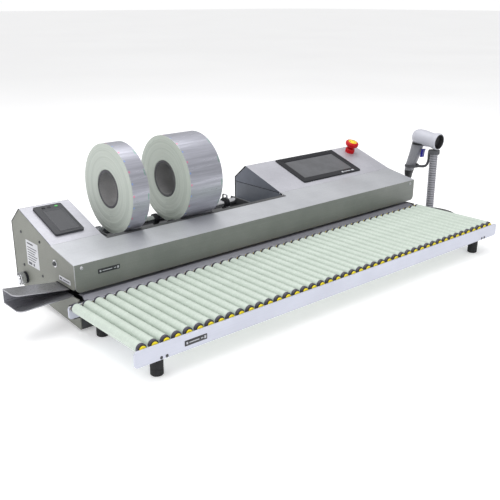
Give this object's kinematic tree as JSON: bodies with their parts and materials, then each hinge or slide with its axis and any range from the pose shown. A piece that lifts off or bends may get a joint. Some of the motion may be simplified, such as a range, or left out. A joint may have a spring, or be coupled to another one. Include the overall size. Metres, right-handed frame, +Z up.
{
  "type": "continuous band sealer",
  "caption": "Bench band sealer with a horizontal sealing slot, film reels on bars, touch screen, label printer, roller conveyor and hand scanner on a flexible stand",
  "frame": {"origin": "middle of the footprint, on the bench", "axes": "+X along the conveyor towards the scanner, +Y from the operator to the back, +Z up"},
  "size_m": [1.435, 0.561, 0.3433],
  "materials": {
    "brushed_steel": "fine satin brushed sheet",
    "grey_paint": "satin grey powder coat",
    "dark_paint": "fine textured dark grey powder coat",
    "rail": "satin anodised",
    "roller": "pale green white tube",
    "rubber": "matt black",
    "film": "wound film edge",
    "core": "grey wound board",
    "chrome": "polished",
    "black_plastic": "fine moulded texture",
    "printer_plastic": "dark grey moulding",
    "screen": "anti glare grey glass",
    "stop_red": "red moulding",
    "stop_collar": "red moulding",
    "scanner": "light grey moulding",
    "trigger": "blue moulding",
    "seal_band": "coated glass cloth",
    "drive_metal": "machined",
    "heater": "machined"
  },
  "bodies": {
    "machine": {"front_rail": "rail", "rear_rail": "rail", "left_cross_strut": "rail", "right_cross_strut": "rail", "conveyor_foot_front_left": "rubber", "conveyor_foot_rear_left": "rubber", "conveyor_foot_front_right": "rubber", "conveyor_foot_rear_right": "rubber", "roller_bank": "roller", "base_tray": "dark_paint", "left_side_plate": "grey_paint", "right_side_plate": "grey_paint", "upper_front_cover": "brushed_steel", "lower_front_cover": "brushed_steel", "printer_hood": "brushed_steel", "screen_hood": "brushed_steel", "screen_inner_wall": "dark_paint", "rear_cover": "dark_paint", "reel_well_tray": "dark_paint", "pouch_guide": "brushed_steel", "front_foot_strip": "rubber", "rear_foot_strip": "rubber", "upper_seal_band": "seal_band", "lower_seal_band": "seal_band", "upper_heater_bar": "heater", "lower_heater_bar": "heater", "drive_motor": "drive_metal", "screen_bezel": "black_plastic", "screen_glass": "screen", "printer_body": "printer_plastic", "stop_collar": "stop_collar", "stand_base": "dark_paint", "gooseneck_lower": "drive_metal"},
    "narrow_reel": {"narrow_film_roll": "film", "narrow_core": "core"},
    "wide_reel": {"wide_film_roll": "film", "wide_core": "core"},
    "front_bar": {"front_reel_bar": "chrome"},
    "rear_bar": {"rear_reel_bar": "chrome"},
    "front_collar_left": {"front_collar_left": "black_plastic"},
    "front_collar_right": {"front_collar_right": "black_plastic"},
    "rear_collar_left": {"rear_collar_left": "black_plastic"},
    "rear_collar_right": {"rear_collar_right": "black_plastic"},
    "printer_lid": {"printer_lid": "printer_plastic"},
    "printer_feed_button": {"printer_feed_button": "black_plastic"},
    "stop_button": {"stop_button": "stop_red"},
    "pressure_knob": {"pressure_knob": "chrome"},
    "upper_idler_pulley": {"upper_idler_pulley": "drive_metal"},
    "upper_drive_pulley": {"upper_drive_pulley": "drive_metal"},
    "lower_idler_pulley": {"lower_idler_pulley": "drive_metal"},
    "lower_drive_pulley": {"lower_drive_pulley": "drive_metal"},
    "neck": {"gooseneck_upper": "drive_metal", "scanner_holder": "scanner"},
    "scanner": {"scanner_body": "scanner"},
    "scanner_trigger": {"scanner_trigger": "trigger"},
    "roller_1": {"roller_1": "roller"},
    "roller_2": {"roller_2": "roller"},
    "roller_3": {"roller_3": "roller"},
    "roller_4": {"roller_4": "roller"},
    "roller_5": {"roller_5": "roller"}
  },
  "joints": [
    {"name": "roller_1_spin", "type": "hinge", "parent": "machine", "child": "roller_1", "pos_m": [-0.6205, -0.1525, 0.068], "axis": [0, 1, 0], "continuous": true},
    {"name": "roller_2_spin", "type": "hinge", "parent": "machine", "child": "roller_2", "pos_m": [-0.5955, -0.1525, 0.068], "axis": [0, 1, 0], "continuous": true},
    {"name": "roller_3_spin", "type": "hinge", "parent": "machine", "child": "roller_3", "pos_m": [-0.5705, -0.1525, 0.068], "axis": [0, 1, 0], "continuous": true},
    {"name": "roller_4_spin", "type": "hinge", "parent": "machine", "child": "roller_4", "pos_m": [-0.5455, -0.1525, 0.068], "axis": [0, 1, 0], "continuous": true},
    {"name": "roller_5_spin", "type": "hinge", "parent": "machine", "child": "roller_5", "pos_m": [-0.5205, -0.1525, 0.068], "axis": [0, 1, 0], "continuous": true},
    {"name": "narrow_reel_spin", "type": "hinge", "parent": "machine", "child": "narrow_reel", "pos_m": [-0.40825, 0.1415, 0.2415], "axis": [1, 0, 0], "continuous": true},
    {"name": "wide_reel_spin", "type": "hinge", "parent": "machine", "child": "wide_reel", "pos_m": [-0.23, 0.1415, 0.2415], "axis": [1, 0, 0], "continuous": true},
    {"name": "front_bar_spin", "type": "hinge", "parent": "machine", "child": "front_bar", "pos_m": [-0.2455, 0.1045, 0.1359], "axis": [1, 0, 0], "continuous": true},
    {"name": "rear_bar_spin", "type": "hinge", "parent": "machine", "child": "rear_bar", "pos_m": [-0.2455, 0.1785, 0.1359], "axis": [1, 0, 0], "continuous": true},
    {"name": "front_collar_left_slide", "type": "slide", "parent": "front_bar", "child": "front_collar_left", "axis": [1, 0, 0], "range_m": [-0.085, 0.001]},
    {"name": "front_collar_right_slide", "type": "slide", "parent": "front_bar", "child": "front_collar_right", "axis": [1, 0, 0], "range_m": [-0.055, 0.06]},
    {"name": "rear_collar_left_slide", "type": "slide", "parent": "rear_bar", "child": "rear_collar_left", "axis": [1, 0, 0], "range_m": [-0.09, 0.0015]},
    {"name": "rear_collar_right_slide", "type": "slide", "parent": "rear_bar", "child": "rear_collar_right", "axis": [1, 0, 0], "range_m": [-0.085, 0.02]},
    {"name": "printer_lid_hinge", "type": "hinge", "parent": "machine", "child": "printer_lid", "pos_m": [-0.5385, 0.12108, 0.17624], "axis": [1, 0, 0], "range_deg": [0, 85]},
    {"name": "printer_feed_press", "type": "slide", "parent": "machine", "child": "printer_feed_button", "axis": [0, 0.3242, -0.946], "range_m": [0, 0.0012], "stiffness_N_per_m": 400, "springref_m": -0.0005},
    {"name": "stop_press", "type": "slide", "parent": "machine", "child": "stop_button", "axis": [0, 0.3242, -0.946], "range_m": [0, 0.004], "stiffness_N_per_m": 1500, "springref_m": -0.001},
    {"name": "pressure_knob_turn", "type": "hinge", "parent": "machine", "child": "pressure_knob", "pos_m": [-0.6115, 0.2305, 0.05], "axis": [-1, 0, 0], "range_deg": [-180, 180]},
    {"name": "upper_drive_spin", "type": "hinge", "parent": "machine", "child": "upper_drive_pulley", "pos_m": [0.3595, 0.0205, 0.0985], "axis": [0, 1, 0], "continuous": true},
    {"name": "upper_idler_spin", "type": "hinge", "parent": "machine", "child": "upper_idler_pulley", "pos_m": [-0.4505, 0.0205, 0.0985], "axis": [0, 1, 0], "continuous": true},
    {"name": "lower_drive_spin", "type": "hinge", "parent": "machine", "child": "lower_drive_pulley", "pos_m": [0.3595, 0.0205, 0.06], "axis": [0, 1, 0], "continuous": true},
    {"name": "lower_idler_spin", "type": "hinge", "parent": "machine", "child": "lower_idler_pulley", "pos_m": [-0.4505, 0.0205, 0.06], "axis": [0, 1, 0], "continuous": true},
    {"name": "neck_bend", "type": "hinge", "parent": "machine", "child": "neck", "pos_m": [0.6315, 0.0235, 0.105], "axis": [1, 0, 0], "range_deg": [-20, 20]},
    {"name": "scanner_lift", "type": "slide", "parent": "neck", "child": "scanner", "axis": [0, 0, 1], "range_m": [0, 0.12]},
    {"name": "trigger_pull", "type": "slide", "parent": "scanner", "child": "scanner_trigger", "axis": [0, 1, 0], "range_m": [0, 0.002], "stiffness_N_per_m": 400, "springref_m": -0.001}
  ],
  "couplings": [
    {"joint": "upper_idler_spin", "follows": "upper_drive_spin", "ratio": 1},
    {"joint": "lower_drive_spin", "follows": "upper_drive_spin", "ratio": -1},
    {"joint": "lower_idler_spin", "follows": "upper_drive_spin", "ratio": -1}
  ]
}
